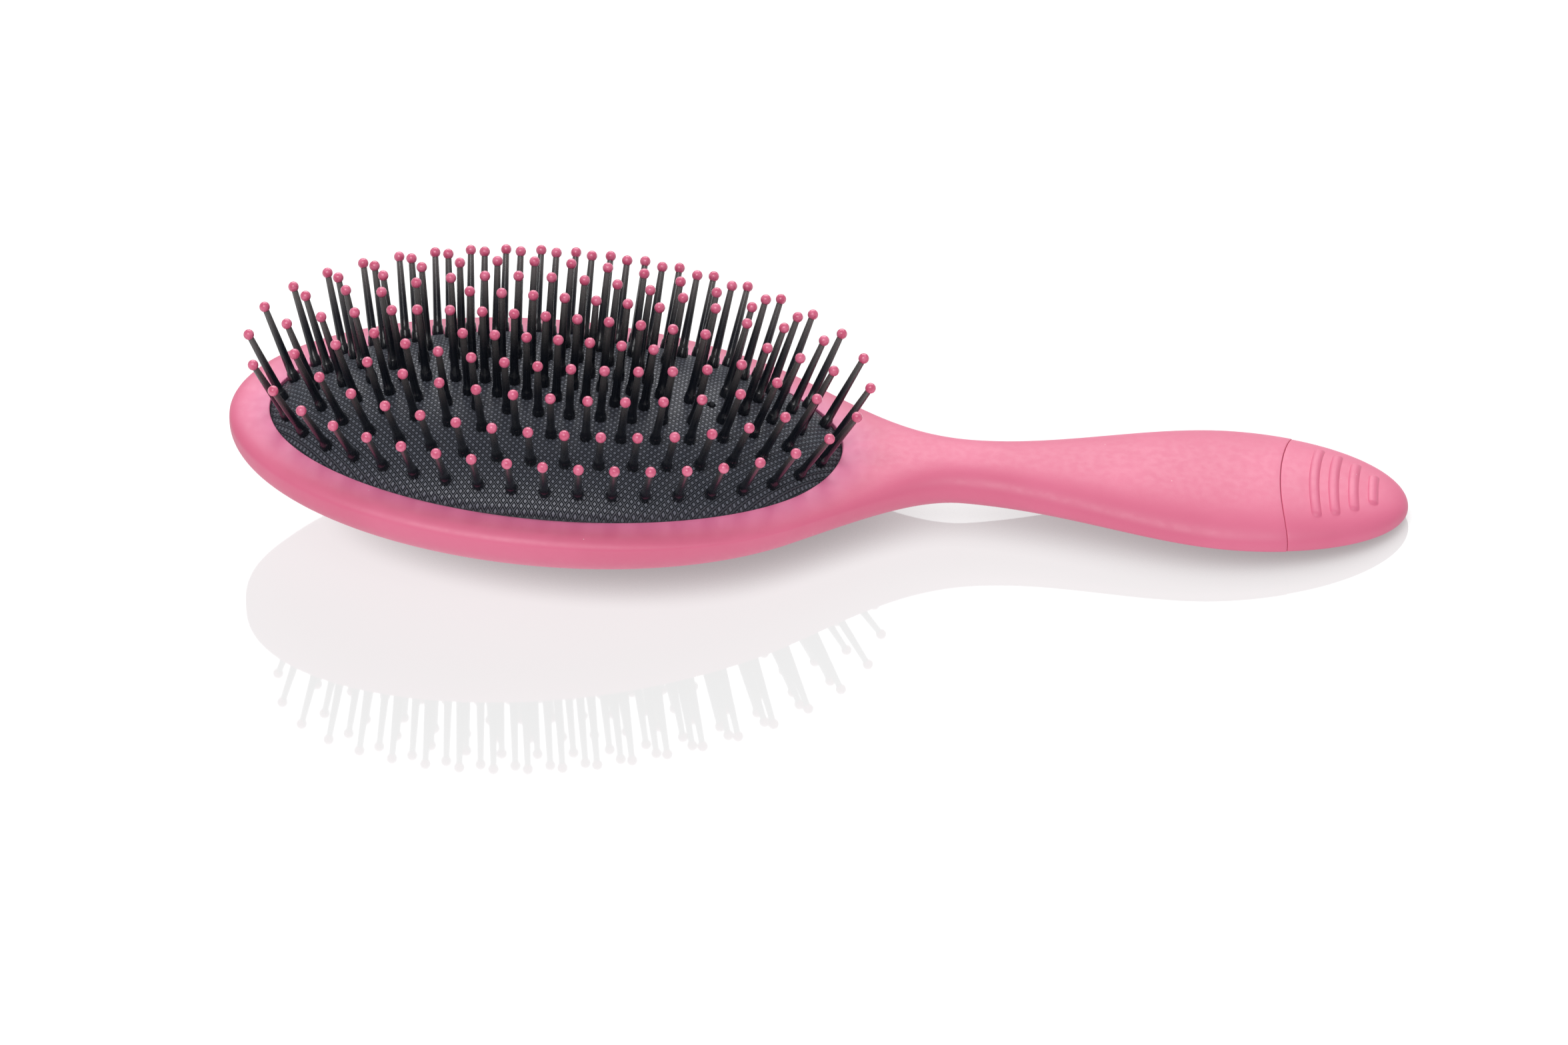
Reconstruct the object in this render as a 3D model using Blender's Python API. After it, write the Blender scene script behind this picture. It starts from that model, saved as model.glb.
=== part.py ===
"""A cushion pin brush for pets: a moulded handle and head, a rubber cushion full of ball-tipped
pins, and a ribbed end cap on a plug-in tongue. Metres, +Z up, pins up.

Lengths here are in millimetres, in the brush's own frame: the origin is the centre of the pad's
opening, +X runs to the handle's end, +Y is the far side and +Z is out of the pad. An empty named
brush_frame pitches that frame so that the brush lies on its back, and Z = 0 is the table.
"""

import math

import bmesh
import bpy
from mathutils import Matrix, Vector

MM = 0.001
GAP = 0.3

# How the brush lies.
PITCH_DEG = 5.4
FRAME_HEIGHT = 19.0
FRAME_X = -49.58

# Head: an ellipse seen from above, and a rounded bowl below it.
HEAD_CENTRE_X = -0.4
HEAD_HALF_LENGTH = 62.0
HEAD_HALF_WIDTH = 36.9
HEAD_RIM_TOP = 0.7
HEAD_WIDEST_Z = -1.6
HEAD_DEPTH = 18.4
HEAD_BOWL_POWER = 0.36
HEAD_RIM_POWER = 0.2
HEAD_LEAVES_X = 46.0

# Neck and handle: half widths, top and bottom at the neck's waist and at the handle's widest.
NECK_X = 78.5
NECK_HALF_WIDTH = 7.8
NECK_TOP = 2.5
NECK_BOTTOM = -6.4
PALM_X = 129.5
PALM_HALF_WIDTH = 17.7
PALM_TOP = 4.1
PALM_BOTTOM = -4.1
HANDLE_END_X = 162.9
HANDLE_END_Z = -1.5
HANDLE_NOSE_POWER = 0.4
TOP_SQUARENESS = 2.5
UNDERSIDE_SQUARENESS = 2.15

# Where the shell has its sections: by angle towards its two rounded ends, by X between them.
HEAD_ANGLES_DEG = (7, 16, 27, 40, 55, 72)
SECTION_XS = (8, 24, 38, 50, 58, 66, 74, 84, 94, 104, 114, 124, 132)
NOSE_ANGLES_DEG = (18, 32, 46, 58, 69, 79)

# Cushion pad.
PAD_HALF_LENGTH = 55.0
PAD_HALF_WIDTH = 30.0
PAD_RISE = 10.0
PAD_CROWN_POWER = 3.2
PAD_WALL = 1.8
PAD_FLANGE_REACH = 2.4
PAD_FLANGE_TOP = -1.6
PAD_FLANGE_BOTTOM = -3.2

# Pocket in the head: a lip, an undercut for the pad's flange and its ring, and the air chamber.
LIP_UNDERSIDE = -1.3
UNDERCUT_REACH = 2.8
LEDGE_Z = -5.9
CHAMBER_INSET = 3.0
CHAMBER_STEPS = ((-5.9, 1.0), (-9.0, 0.93), (-12.3, 0.78), (-14.8, 0.55), (-15.4, 0.4))
RING_TOP = -3.5
RING_BOTTOM = -5.6
RING_SPLIT_WIDTH = 4.0

# Pins: loops of the same pitch all round, two rows of seven inside them, and a middle row of ten.
LOOPS = (
    ("outer", 40, 52.2, 25.95, 4),
    ("second", 34, 46.25, 20.65, 4),
    ("third", 28, 40.8, 14.6, 4),
    ("fourth", 26, 35.4, 9.2, 4),
)
ROW_PITCH = 5.56
SIDE_ROW_PINS = 7
SIDE_ROW_Y = 4.2
MIDDLE_ROW_PINS = 10
ROW_END_X = 29.3
PIN_LENGTH = 15.8
PIN_FOOT_RADIUS = 0.9
PIN_NECK_RADIUS = 0.65
TIP_RADIUS = 1.03
PIN_SIDES = 4
HOLE_RADIUS = 1.35
HOLE_BELOW = 5.0
HOLE_ABOVE = 3.0
VENT_RADIUS = 1.0
VENT_SIDES = 8
LEAN_X = (0.274, 0.274)
LEAN_Y = (1.265, -0.542)
STRIP_DEPTH = 3.2
STRIP_HALF_WIDTH = 1.1
STRIP_HALF_THICKNESS = 0.55

# End cap and its tongue.
SEAM_X = 138.0
SEAM_BOW = 0.0082
CAP_INSET = 0.3
TONGUE = ((94.0, 5.2), (96.0, 6.4), (128.0, 9.8), (138.0, 10.4), (149.0, 8.6), (150.0, 7.6))
TONGUE_HALF_HEIGHT = 1.8
TONGUE_Z = -0.4
TONGUE_CHAMFER = 0.45
RIBS = ((6.5, 10.9), (10.2, 9.6), (14.0, 7.6), (17.8, 4.8))
RIB_HALF_WIDTH = 1.0
RIB_RISE = 0.45
RIB_ROOT = 1.2
RIB_CREST_SHARE = 0.6
RIB_END_DROP = 1.6
RIB_END_POWER = 8

COLOURS = {
    "soft pink": ((0.80, 0.14, 0.26, 1.0), 0.55, 0.0),
    "pad rubber": ((0.035, 0.036, 0.040, 1.0), 0.62, 0.0),
    "pin nylon": ((0.012, 0.014, 0.020, 1.0), 0.22, 0.0),
    "ring nylon": ((0.05, 0.05, 0.055, 1.0), 0.45, 0.0),
    "tongue plastic": ((0.70, 0.70, 0.72, 1.0), 0.40, 0.0),
}


def clear_scene():
    for thing in list(bpy.data.objects):
        bpy.data.objects.remove(thing)


def material(name):
    if name in bpy.data.materials:
        return bpy.data.materials[name]
    colour, roughness, metallic = COLOURS[name]
    made = bpy.data.materials.new(name)
    made.use_nodes = True
    shader = made.node_tree.nodes["Principled BSDF"]
    shader.inputs["Base Color"].default_value = colour
    shader.inputs["Roughness"].default_value = roughness
    shader.inputs["Metallic"].default_value = metallic
    made.diffuse_color = colour
    return made


def add_object(name, bm, frame, finish=None):
    """Turns a bmesh in millimetres into an object in the brush's frame."""
    bmesh.ops.scale(bm, vec=(MM, MM, MM), verts=bm.verts)
    bmesh.ops.recalc_face_normals(bm, faces=bm.faces)
    bmesh.ops.triangulate(bm, faces=[face for face in bm.faces if len(face.verts) == 4])
    mesh = bpy.data.meshes.new(name)
    bm.to_mesh(mesh)
    bm.free()
    mesh.shade_smooth()
    mesh.set_sharp_from_angle(angle=math.radians(35))
    made = bpy.data.objects.new(name, mesh)
    bpy.context.scene.collection.objects.link(made)
    made.parent = frame
    if finish:
        mesh.materials.append(material(finish))
    else:
        made.hide_render = True
        made.display_type = "WIRE"
    return made


def combine(thing, cutter, operation):
    step = thing.modifiers.new(operation.lower(), "BOOLEAN")
    step.operation = operation
    step.solver = "EXACT"
    step.object = cutter


def skin(rings, bm=None):
    """A closed skin over rings of points, in bm or a new bmesh. A ring of one point is a pole."""
    bm = bm or bmesh.new()
    made = [[bm.verts.new(point) for point in ring] for ring in rings]
    for first, second in zip(made, made[1:]):
        count = max(len(first), len(second))
        for i in range(count):
            j = (i + 1) % count
            if len(first) == 1:
                bm.faces.new((first[0], second[i], second[j]))
            elif len(second) == 1:
                bm.faces.new((first[j], first[i], second[0]))
            else:
                bm.faces.new((first[j], first[i], second[i], second[j]))
    if len(made[0]) > 2:
        bm.faces.new(made[0])
    if len(made[-1]) > 2:
        bm.faces.new(reversed(made[-1]))
    return bm


def ellipse(half_length, half_width, z, sides):
    turns = [2 * math.pi * i / sides for i in range(sides)]
    return [(half_length * math.cos(t), half_width * math.sin(t), z) for t in turns]


def eased(x, start, end):
    """The cubic through start and end, each (x, value, slope)."""
    length = end[0] - start[0]
    t = (x - start[0]) / length
    keep = 1 - 3 * t * t + 2 * t ** 3
    pull = (t - 2 * t * t + t ** 3) * start[2] + (t ** 3 - t * t) * end[2]
    return keep * start[1] + (1 - keep) * end[1] + pull * length


def head_fraction(x, power):
    reach = (x - HEAD_CENTRE_X) / HEAD_HALF_LENGTH
    return max(0.0, 1 - reach * reach) ** power


def head_slope(size, power):
    step = 0.01
    ahead = head_fraction(HEAD_LEAVES_X + step, power)
    return size * (ahead - head_fraction(HEAD_LEAVES_X, power)) / step


def nose_fraction(x, power):
    reach = max(0.0, (x - PALM_X) / (HANDLE_END_X - PALM_X))
    return max(0.0, 1 - reach * reach) ** power


def half_width(x):
    if x <= HEAD_LEAVES_X:
        return HEAD_HALF_WIDTH * head_fraction(x, 0.5)
    neck = (NECK_X, NECK_HALF_WIDTH, 0.0)
    if x <= NECK_X:
        leaving = HEAD_HALF_WIDTH * head_fraction(HEAD_LEAVES_X, 0.5)
        return eased(x, (HEAD_LEAVES_X, leaving, head_slope(HEAD_HALF_WIDTH, 0.5)), neck)
    if x <= PALM_X:
        return eased(x, neck, (PALM_X, PALM_HALF_WIDTH, 0.0))
    return PALM_HALF_WIDTH * nose_fraction(x, 0.5)


def widest_z(x):
    neck_z = (NECK_TOP + NECK_BOTTOM) / 2
    if x <= HEAD_LEAVES_X:
        return HEAD_WIDEST_Z
    if x <= NECK_X:
        return eased(x, (HEAD_LEAVES_X, HEAD_WIDEST_Z, 0), (NECK_X, neck_z, 0))
    return eased(x, (NECK_X, neck_z, 0), (HANDLE_END_X, HANDLE_END_Z, 0))


def top_z(x):
    if x <= HEAD_LEAVES_X:
        rise = HEAD_RIM_TOP - HEAD_WIDEST_Z
        return HEAD_WIDEST_Z + rise * head_fraction(x, HEAD_RIM_POWER)
    if x <= NECK_X:
        leaving = top_z(HEAD_LEAVES_X)
        return eased(x, (HEAD_LEAVES_X, leaving, 0), (NECK_X, NECK_TOP, 0))
    if x <= PALM_X:
        return eased(x, (NECK_X, NECK_TOP, 0), (PALM_X, PALM_TOP, 0))
    middle = widest_z(x)
    return middle + (PALM_TOP - widest_z(PALM_X)) * nose_fraction(x, HANDLE_NOSE_POWER)


def bottom_z(x):
    depth = HEAD_DEPTH + HEAD_WIDEST_Z
    if x <= HEAD_LEAVES_X:
        return HEAD_WIDEST_Z - depth * head_fraction(x, HEAD_BOWL_POWER)
    neck = (NECK_X, NECK_BOTTOM, 0)
    if x <= NECK_X:
        leaving = bottom_z(HEAD_LEAVES_X)
        return eased(x, (HEAD_LEAVES_X, leaving, -head_slope(depth, HEAD_BOWL_POWER)), neck)
    if x <= PALM_X:
        return eased(x, neck, (PALM_X, PALM_BOTTOM, 0))
    middle = widest_z(x)
    return middle + (PALM_BOTTOM - widest_z(PALM_X)) * nose_fraction(x, HANDLE_NOSE_POWER)


def shell_section(x, inset, sides):
    """One ring of the outer shell across the brush at x, drawn in by inset all round."""
    wide = half_width(x) - inset
    middle = widest_z(x)
    up = top_z(x) - inset - middle
    down = middle - bottom_z(x) - inset
    points = []
    for i in range(sides):
        turn = 2 * math.pi * i / sides
        across, rise = math.cos(turn), math.sin(turn)
        squareness = TOP_SQUARENESS if rise > 0 else UNDERSIDE_SQUARENESS
        y = math.copysign(abs(across) ** (2 / squareness), across) * wide
        z = math.copysign(abs(rise) ** (2 / squareness), rise) * (up if rise > 0 else down)
        points.append((x, y, middle + z))
    return points


def shell(inset=0.0, sides=28):
    nose_length = HANDLE_END_X - inset - PALM_X
    head = [HEAD_CENTRE_X - HEAD_HALF_LENGTH * math.cos(math.radians(t)) for t in HEAD_ANGLES_DEG]
    nose = [PALM_X + nose_length * math.sin(math.radians(t)) for t in NOSE_ANGLES_DEG]
    rings = [shell_section(x, inset, sides) for x in (*head, *SECTION_XS, *nose)]
    first = (HEAD_CENTRE_X - HEAD_HALF_LENGTH, 0, HEAD_WIDEST_Z)
    last = (HANDLE_END_X - inset, 0, HANDLE_END_Z)
    return skin([[first]] + rings + [[last]])


def seam_x(y):
    return SEAM_X + SEAM_BOW * y * y


def seam_block(start):
    """Everything on the cap's side of the seam, from start beyond it."""
    reach, deep, far = 30, 12, 200
    steps = 12
    across = [reach * (2 * i / steps - 1) for i in range(steps + 1)]
    edge = [(seam_x(y) + start, y) for y in across] + [(far, reach), (far, -reach)]
    return skin([[(x, y, -deep) for x, y in edge], [(x, y, deep) for x, y in edge]])


def floor_cutter(frame):
    """A box whose top is the table, at Z = 0 of the world."""
    reach, deep = 300, 20
    bm = bmesh.new()
    bmesh.ops.create_cube(bm, size=1)
    bmesh.ops.scale(bm, vec=(reach, reach, deep), verts=bm.verts)
    drop = Matrix.Translation((0, 0, -FRAME_HEIGHT - deep / 2))
    level = Matrix.Rotation(math.radians(-PITCH_DEG), 4, "Y")
    bmesh.ops.transform(bm, matrix=level @ drop, verts=bm.verts)
    return add_object("floor_cutter", bm, frame)


def pocket_cutter(frame, sides=40):
    """The pad's opening, the undercut below its lip and the air chamber, in one turned shape."""
    mouth = (PAD_HALF_LENGTH + GAP, PAD_HALF_WIDTH + GAP)
    undercut = (PAD_HALF_LENGTH + UNDERCUT_REACH, PAD_HALF_WIDTH + UNDERCUT_REACH)
    chamber = (PAD_HALF_LENGTH - CHAMBER_INSET, PAD_HALF_WIDTH - CHAMBER_INSET)
    rings = [
        ellipse(*mouth, 4, sides),
        ellipse(*mouth, LIP_UNDERSIDE, sides),
        ellipse(*undercut, LIP_UNDERSIDE, sides),
        ellipse(*undercut, LEDGE_Z, sides),
    ]
    rings += [ellipse(chamber[0] * s, chamber[1] * s, z, sides) for z, s in CHAMBER_STEPS]
    return add_object("pocket_cutter", skin(rings), frame)


def tongue(extra):
    """The flat tongue with chamfered edges, or with extra the slot that it slides in."""
    rings = []
    high = TONGUE_HALF_HEIGHT + extra
    flat = high * (1 - TONGUE_CHAMFER)
    shifts = (-extra, 0, 0, 0, 0, extra)
    for (x, half), shift in zip(TONGUE, shifts):
        wide = half + extra
        inner = wide - (high - flat)
        outline = ((wide, -flat), (wide, flat), (inner, high), (-inner, high),
                   (-wide, flat), (-wide, -flat), (-inner, -high), (inner, -high))
        rings.append([(x + shift, y, TONGUE_Z + z) for y, z in outline])
    return skin(rings)


def make_handle_body(frame, cutters):
    body = add_object("handle_body", shell(), frame, "soft pink")
    for cutter in cutters:
        combine(body, cutter, "DIFFERENCE")


def surface_z(x, y, upper, inset):
    wide = half_width(x) - inset
    middle = widest_z(x)
    squareness = TOP_SQUARENESS if upper else UNDERSIDE_SQUARENESS
    edge = min(1.0, abs(y) / wide)
    lift = (1 - edge ** squareness) ** (1 / squareness)
    end = top_z(x) - inset if upper else bottom_z(x) + inset
    return middle + (end - middle) * lift


def rib_rings(start, half_length, upper, steps=8):
    """One arched grip rib: it stands off the cap's face, and its ends run down into it."""
    rings = []
    out = 1 if upper else -1
    for i in range(steps + 1):
        along = 2 * i / steps - 1
        y = half_length * along
        x = seam_x(y) + start
        face = surface_z(x, y, upper, CAP_INSET)
        crest = face + out * RIB_RISE * (1 - RIB_END_DROP * along ** RIB_END_POWER)
        root = face - out * RIB_ROOT
        wide, narrow = RIB_HALF_WIDTH, RIB_HALF_WIDTH * RIB_CREST_SHARE
        ring = [(x - wide, y, root), (x + wide, y, root), (x + narrow, y, crest), (x - narrow, y, crest)]
        rings.append(ring if upper else ring[::-1])
    return rings


def make_end_cap(frame, slot):
    cap = add_object("end_cap", shell(CAP_INSET), frame, "soft pink")
    combine(cap, add_object("cap_side", seam_block(GAP), frame), "INTERSECT")
    ribs = bmesh.new()
    for upper in (True, False):
        for start, half_length in RIBS:
            skin(rib_rings(start, half_length, upper), ribs)
    combine(cap, add_object("grip_ribs", ribs, frame), "UNION")
    combine(cap, slot, "DIFFERENCE")


def pad_height(x, y):
    reach = math.hypot(x / PAD_HALF_LENGTH, y / PAD_HALF_WIDTH)
    return PAD_RISE * (1 - min(reach, 1.0) ** PAD_CROWN_POWER)


def pad_normal(x, y):
    step = 0.05
    rise_x = (pad_height(x + step, y) - pad_height(x - step, y)) / (2 * step)
    rise_y = (pad_height(x, y + step) - pad_height(x, y - step)) / (2 * step)
    return Vector((-rise_x, -rise_y, 1)).normalized()


def make_pad(frame, cutters, sides=30):
    rings = [[(0, 0, PAD_RISE)]]
    length, width = PAD_HALF_LENGTH, PAD_HALF_WIDTH
    parts = (0.4, 0.65, 0.84, 0.95, 1.0)
    for s in parts:
        rings.append(ellipse(length * s, width * s, pad_height(length * s, 0), sides))
    outer = (length + PAD_FLANGE_REACH, width + PAD_FLANGE_REACH)
    rings.append(ellipse(length, width, PAD_FLANGE_TOP, sides))
    rings.append(ellipse(*outer, PAD_FLANGE_TOP, sides))
    rings.append(ellipse(*outer, PAD_FLANGE_BOTTOM, sides))
    inner = (length - PAD_WALL, width - PAD_WALL)
    rings.append(ellipse(*inner, PAD_FLANGE_BOTTOM, sides))
    for s in reversed(parts):
        rings.append(ellipse(inner[0] * s, inner[1] * s, pad_height(length * s, 0) - PAD_WALL, sides))
    rings.append([(0, 0, PAD_RISE - PAD_WALL)])
    pad = add_object("cushion_pad", skin(rings), frame, "pad rubber")
    for cutter in cutters:
        combine(pad, cutter, "DIFFERENCE")


def make_retaining_ring(frame, sides=36):
    """A split ring, sprung into the undercut, that holds the pad's flange up against the lip."""
    outer = (PAD_HALF_LENGTH + PAD_FLANGE_REACH, PAD_HALF_WIDTH + PAD_FLANGE_REACH)
    inner = (PAD_HALF_LENGTH - PAD_WALL, PAD_HALF_WIDTH - PAD_WALL)
    half_gap = math.asin(RING_SPLIT_WIDTH / 2 / outer[1])
    rings = []
    for i in range(sides + 1):
        t = half_gap + (2 * math.pi - 2 * half_gap) * i / sides
        c, s = math.cos(t), math.sin(t)
        rings.append([
            (inner[0] * c, inner[1] * s, RING_BOTTOM), (outer[0] * c, outer[1] * s, RING_BOTTOM),
            (outer[0] * c, outer[1] * s, RING_TOP), (inner[0] * c, inner[1] * s, RING_TOP),
        ])
    add_object("pad_retaining_ring", skin(rings), frame, "ring nylon")


def even_loop(count, length, width):
    """Points spaced evenly round an ellipse of these half sizes, the first at its +X end."""
    fine = 1440
    turns = [2 * math.pi * i / fine for i in range(fine + 1)]
    points = [Vector((length * math.cos(t), width * math.sin(t))) for t in turns]
    travelled = [0.0]
    for a, b in zip(points, points[1:]):
        travelled.append(travelled[-1] + (b - a).length)
    found = []
    i = 0
    for n in range(count):
        wanted = travelled[-1] * n / count
        while travelled[i + 1] < wanted:
            i += 1
        t = (wanted - travelled[i]) / (travelled[i + 1] - travelled[i])
        found.append(tuple(points[i].lerp(points[i + 1], t)))
    return found


def pin_groups():
    """Names and pin feet, strip by strip. The row's -X end has a pin where its +X end has the vent."""
    groups = []
    for name, count, length, width, parts in LOOPS:
        feet = even_loop(count, length, width)
        start = count // (2 * parts)
        turned = feet[-start:] + feet[:-start]
        size = count / parts
        for part in range(parts):
            chosen = turned[round(part * size):round((part + 1) * size)]
            groups.append((f"pins_{name}_{part + 1}", chosen))
    half = (SIDE_ROW_PINS - 1) / 2
    row = [ROW_PITCH * (i - half) for i in range(SIDE_ROW_PINS)]
    groups.append(("pins_inner_far", [(x, SIDE_ROW_Y) for x in row]))
    groups.append(("pins_inner_near", [(x, -SIDE_ROW_Y) for x in row]))
    half = (MIDDLE_ROW_PINS - 1) / 2
    middle = [(ROW_PITCH * (i - half), 0) for i in range(MIDDLE_ROW_PINS)]
    groups.append(("pins_middle", [(-ROW_END_X, 0)] + middle))
    return groups


def pin_axis(x, y):
    along, across = x / PAD_HALF_LENGTH, y / PAD_HALF_WIDTH
    lean_x = LEAN_X[0] * along + LEAN_X[1] * along ** 3
    lean_y = LEAN_Y[0] * across + LEAN_Y[1] * across ** 3
    return Vector((lean_x, lean_y, 1)).normalized()


def prism_rings(foot, axis, stations, sides=PIN_SIDES):
    """Rings square to axis at each (distance, radius); a radius of 0 gives a pole."""
    turn = axis.to_track_quat("Z", "Y").to_matrix()
    rings = []
    for distance, radius in stations:
        centre = foot + axis * distance
        if radius == 0:
            rings.append([tuple(centre)])
            continue
        angles = [2 * math.pi * (i + 0.5) / sides for i in range(sides)]
        flat = [Vector((math.cos(angle), math.sin(angle), 0)) * radius for angle in angles]
        rings.append([tuple(centre + turn @ point) for point in flat])
    return rings


def strip_rings(feet):
    """The thin strip under the pad that joins a group's pins."""
    first = Vector(feet[0]) - (Vector(feet[1]) - Vector(feet[0])).normalized() * STRIP_HALF_WIDTH
    last = Vector(feet[-1]) + (Vector(feet[-1]) - Vector(feet[-2])).normalized() * STRIP_HALF_WIDTH
    route = [tuple(first)] + list(feet[1:-1]) + [tuple(last)]
    rings = []
    for i, (x, y) in enumerate(route):
        before, after = Vector(route[max(i - 1, 0)]), Vector(route[min(i + 1, len(route) - 1)])
        normal = pad_normal(x, y)
        ahead = Vector((*(after - before), 0))
        ahead = (ahead - normal * ahead.dot(normal)).normalized()
        side = normal.cross(ahead) * STRIP_HALF_WIDTH
        lift = normal * STRIP_HALF_THICKNESS
        centre = Vector((x, y, pad_height(x, y))) - normal * STRIP_DEPTH
        rings.append([tuple(centre + side * a + lift * b) for a, b in ((-1, -1), (1, -1), (1, 1), (-1, 1))])
    return rings


def make_pins(frame):
    """Each group is one strip with its pins; returns the cutters of their holes in the pad."""
    holes = bmesh.new()
    for name, feet in pin_groups():
        strip = add_object(name, skin(strip_rings(feet)), frame, "pin nylon")
        pins = bmesh.new()
        for x, y in feet:
            foot = Vector((x, y, pad_height(x, y)))
            axis = pin_axis(x, y)
            root = -STRIP_DEPTH / axis.dot(pad_normal(x, y))
            stations = ((root, PIN_FOOT_RADIUS), (PIN_LENGTH - TIP_RADIUS, PIN_NECK_RADIUS),
                        (PIN_LENGTH, TIP_RADIUS), (PIN_LENGTH + TIP_RADIUS, 0))
            skin(prism_rings(foot, axis, stations), pins)
            skin(prism_rings(foot, axis, ((-HOLE_BELOW, HOLE_RADIUS), (HOLE_ABOVE, HOLE_RADIUS))), holes)
        combine(strip, add_object(name + "_shafts", pins, frame), "UNION")
    vent = Vector((ROW_END_X, 0, pad_height(ROW_END_X, 0)))
    through = ((-HOLE_BELOW, VENT_RADIUS), (HOLE_ABOVE, VENT_RADIUS))
    skin(prism_rings(vent, pad_normal(ROW_END_X, 0), through, VENT_SIDES), holes)
    return add_object("pin_holes", holes, frame)


def main():
    clear_scene()
    frame = bpy.data.objects.new("brush_frame", None)
    bpy.context.scene.collection.objects.link(frame)
    frame.rotation_euler = (0, math.radians(PITCH_DEG), 0)
    frame.location = (FRAME_X * MM, 0, FRAME_HEIGHT * MM)
    floor = floor_cutter(frame)
    slot = add_object("tongue_slot", tongue(GAP), frame)
    beyond = add_object("body_stops", seam_block(0), frame)
    make_handle_body(frame, (beyond, pocket_cutter(frame), slot, floor))
    make_end_cap(frame, slot)
    add_object("cap_tongue", tongue(0), frame, "tongue plastic")
    make_retaining_ring(frame)
    make_pad(frame, (make_pins(frame),))


main()
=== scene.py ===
"""The looks of a cushion pin brush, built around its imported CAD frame: a soft-touch handle and
ribbed end cap, a rubber cushion with a raised net, and ball-tipped pins.

Lengths are in millimetres in the brush's own frame, as in the CAD: the origin is the centre of
the pad's opening, +X runs to the handle's end, +Y is the far side and +Z is out of the pad.
BRUSH places that frame in the row frame, in metres.
"""

import math

import bmesh
import bpy
import numpy as np
from mathutils import Matrix, Vector


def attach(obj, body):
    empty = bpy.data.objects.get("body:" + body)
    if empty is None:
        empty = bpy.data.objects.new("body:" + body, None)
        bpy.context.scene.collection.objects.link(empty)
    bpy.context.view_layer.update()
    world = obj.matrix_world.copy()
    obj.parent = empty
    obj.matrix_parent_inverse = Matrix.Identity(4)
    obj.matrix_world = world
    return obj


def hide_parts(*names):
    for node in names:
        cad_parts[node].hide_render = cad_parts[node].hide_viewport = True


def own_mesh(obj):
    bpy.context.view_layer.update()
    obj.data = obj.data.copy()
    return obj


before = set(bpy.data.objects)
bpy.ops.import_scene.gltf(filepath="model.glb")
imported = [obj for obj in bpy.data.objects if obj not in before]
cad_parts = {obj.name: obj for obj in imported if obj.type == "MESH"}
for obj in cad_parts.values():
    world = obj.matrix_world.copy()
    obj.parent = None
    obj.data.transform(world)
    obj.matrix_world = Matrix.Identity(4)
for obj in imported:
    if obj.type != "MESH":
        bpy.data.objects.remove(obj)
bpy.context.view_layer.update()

MM = 0.001
GAP = 0.3

# How the brush lies, as in the CAD.
PITCH_DEG = 5.4
FRAME_HEIGHT = 19.0
FRAME_X = -49.58
BRUSH = (Matrix.Translation((FRAME_X * MM, 0, FRAME_HEIGHT * MM))
         @ Matrix.Rotation(math.radians(PITCH_DEG), 4, "Y"))

# Head.
HEAD_CENTRE_X = -0.4
HEAD_HALF_LENGTH = 62.0
HEAD_HALF_WIDTH = 36.9
HEAD_RIM_TOP = 0.7
HEAD_WIDEST_Z = -1.6
HEAD_DEPTH = 18.4
HEAD_BOWL_POWER = 0.36
HEAD_RIM_POWER = 0.2
HEAD_LEAVES_X = 46.0
RIM_CREST = 0.4
RIM_CREST_AT = 0.92
RIM_INNER_AT = 0.82
RIM_INNER_LIMIT = 1.5
RIM_FALL = 0.25
BOWL_SLACK = 0.5

# Neck and handle.
NECK_X = 78.5
NECK_HALF_WIDTH = 7.8
NECK_TOP = 2.5
NECK_BOTTOM = -6.4
PALM_X = 129.5
PALM_HALF_WIDTH = 17.7
PALM_TOP = 4.1
PALM_BOTTOM = -4.1
HANDLE_END_X = 162.9
HANDLE_END_Z = -1.5
HANDLE_NOSE_POWER = 0.4
TOP_SQUARENESS = 2.5
UNDERSIDE_SQUARENESS = 2.15

# Cushion pad and the pocket that holds it. An outline is (half length, half width), and a step of
# the air chamber is (height, share of the chamber's outline).
PAD_HALF_LENGTH = 55.0
PAD_HALF_WIDTH = 30.0
PAD_RISE = 10.0
PAD_CROWN_POWER = 3.2
PAD_WALL = 1.8
PAD_FLANGE_REACH = 2.4
PAD_FLANGE_TOP = -2.1
PAD_FLANGE_BOTTOM = -3.2
MOUTH = (54.75, 29.6)
PAD_EDGE = (54.7, 29.55)
EDGE_DIP = 0.6
EDGE_DIP_FROM = 0.95
EDGE_DIP_TO = 0.99
LIP_UNDERSIDE = -1.3
LIP_ROUND = 0.18
LIP_CUT_OUT = 4.0
LIP_CUT_UP = 3.0
UNDERCUT_REACH = 2.8
LEDGE_Z = -5.9
CHAMBER_INSET = 3.0
CHAMBER_STEPS = ((-5.9, 1.0), (-9.0, 0.93), (-12.3, 0.78), (-14.8, 0.55), (-15.4, 0.4))

# The pad's net: cells along the two diagonals, each a small flat-topped square inside a groove
# and a thin ridge. Where each line runs is a share of the cell; with it goes the line's height.
CELL = 0.97
RIDGE_LINE = (0.05, 0.2)
GROOVE_LINE = (0.19, 0.0)
SQUARE_LINE = (0.27, 0.2)
# How much painted light and glint the ridges take, between the grooves' painted shade at 0 and the
# squares' painted light at 1.
RIDGE_PAINTED_LIGHT = 0.42
# Shares of the pad's reach: how far in the net fades up, where it ends, and where its slope is
# read, just inside the edge.
EDGE_FADE = 0.012
NET_ENDS = 0.9995
JUST_INSIDE = 0.999

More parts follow.
